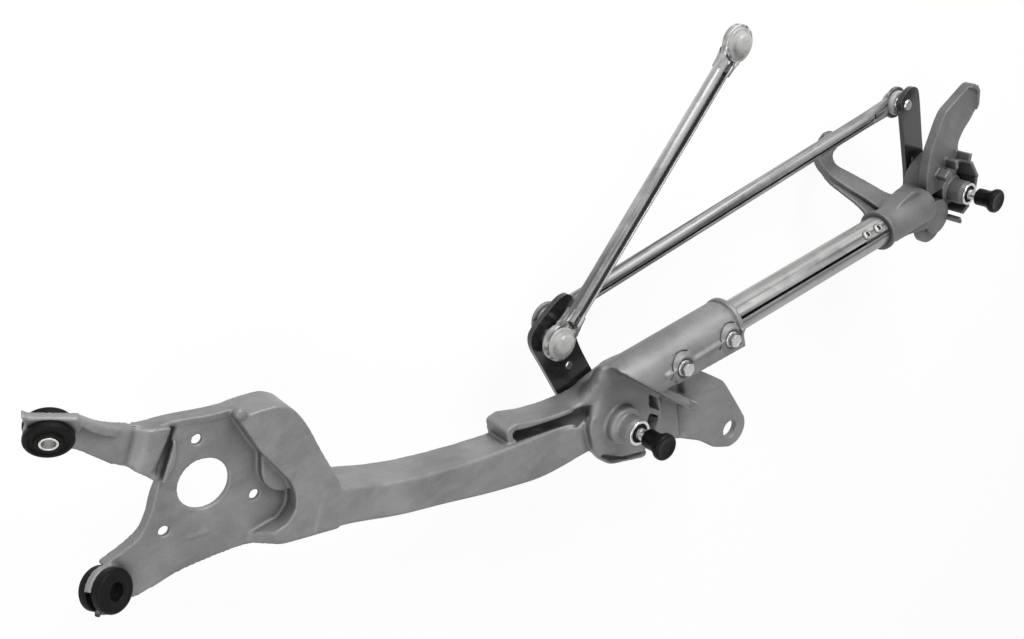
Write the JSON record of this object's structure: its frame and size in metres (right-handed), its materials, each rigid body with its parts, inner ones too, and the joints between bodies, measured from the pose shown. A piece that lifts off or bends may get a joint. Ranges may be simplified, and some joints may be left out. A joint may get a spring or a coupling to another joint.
{
  "type": "wiper linkage",
  "caption": "Windscreen wiper linkage: cast motor bracket and far bearing bracket joined by a frame tube, with capped wiper spindles, levers, a tie link and a motor link.",
  "frame": {"origin": "on the driver's spindle axis, level with the front ring of its bearing nose", "axes": "+Z along both spindles towards their tips, +X from the driver's spindle to the far spindle, +Y towards the free end of the levers"},
  "size_m": [0.8738, 0.3654, 0.1497],
  "materials": {
    "cast_alloy": "satin as-cast, lightly pebbled",
    "tube_steel": "bright zinc-coated, drawn",
    "rod_steel": "zinc-coated pressed sheet",
    "tie_steel": "dark grey coated, satin",
    "lever_steel": "black coated, glossy",
    "spindle_steel": "bright turned",
    "stud_steel": "bright turned",
    "screw_steel": "bright zinc-coated",
    "rivet_steel": "bright",
    "bush_bronze": "sintered, oil-filled, matte",
    "washer_steel": "plain",
    "seal_rubber": "matte",
    "grommet_rubber": "satin",
    "nose_ring": "bright",
    "cap_plastic": "satin black",
    "cup_plastic": "off-white, slightly glossy",
    "sleeve_steel": "bright"
  },
  "bodies": {
    "frame": {"main_casting": "cast_alloy", "far_bracket": "cast_alloy", "frame_tube": "tube_steel", "sleeve_screw_1": "screw_steel", "sleeve_screw_2": "screw_steel", "tube_rivet_1": "rivet_steel", "tube_rivet_2": "rivet_steel", "upper_grommet": "grommet_rubber", "lower_grommet": "grommet_rubber", "upper_grommet_sleeve": "sleeve_steel", "driver_upper_bush": "bush_bronze", "driver_lower_bush": "bush_bronze", "driver_seal_ring": "seal_rubber", "driver_nose_ring": "nose_ring", "far_upper_bush": "bush_bronze", "far_lower_bush": "bush_bronze", "far_seal_ring": "seal_rubber", "far_nose_ring": "nose_ring"},
    "driver_crank": {"driver_spindle": "spindle_steel", "driver_thrust_washer": "washer_steel", "driver_lever": "lever_steel", "motor_link_stud": "stud_steel", "near_tie_stud": "stud_steel"},
    "far_crank": {"far_spindle": "spindle_steel", "far_thrust_washer": "washer_steel", "far_lever": "lever_steel", "far_tie_stud": "stud_steel"},
    "tie_link": {"tie_link_rod": "tie_steel", "tie_link_near_cup": "cup_plastic", "tie_link_far_cup": "cup_plastic"},
    "motor_link": {"motor_link_rod": "rod_steel", "motor_link_near_cup": "cup_plastic", "motor_link_free_cup": "cup_plastic"},
    "driver_cap": {"driver_cap": "cap_plastic"},
    "far_cap": {"far_cap": "cap_plastic"}
  },
  "joints": [
    {"name": "driver_spindle_turn", "type": "hinge", "parent": "frame", "child": "driver_crank", "pos_m": [0, 0, 0], "axis": [0, 0, 1], "range_deg": [-52, 24]},
    {"name": "far_spindle_turn", "type": "hinge", "parent": "frame", "child": "far_crank", "pos_m": [0.425, 0, 0], "axis": [0, 0, 1], "range_deg": [-52, 24]},
    {"name": "tie_link_swing", "type": "hinge", "parent": "driver_crank", "child": "tie_link", "pos_m": [-0.0075, 0.0815, -0.079], "axis": [0, 0, 1], "range_deg": [-24, 52]},
    {"name": "motor_link_swing", "type": "hinge", "parent": "driver_crank", "child": "motor_link", "pos_m": [-0.022, 0.081, -0.047], "axis": [0, 0, 1], "range_deg": [-25, 75]},
    {"name": "driver_cap_pull", "type": "slide", "parent": "driver_crank", "child": "driver_cap", "axis": [0, 0, 1], "range_m": [0, 0.03]},
    {"name": "far_cap_pull", "type": "slide", "parent": "far_crank", "child": "far_cap", "axis": [0, 0, 1], "range_m": [0, 0.03]}
  ],
  "couplings": [
    {"joint": "far_spindle_turn", "follows": "driver_spindle_turn", "ratio": 1},
    {"joint": "tie_link_swing", "follows": "driver_spindle_turn", "ratio": -1}
  ]
}
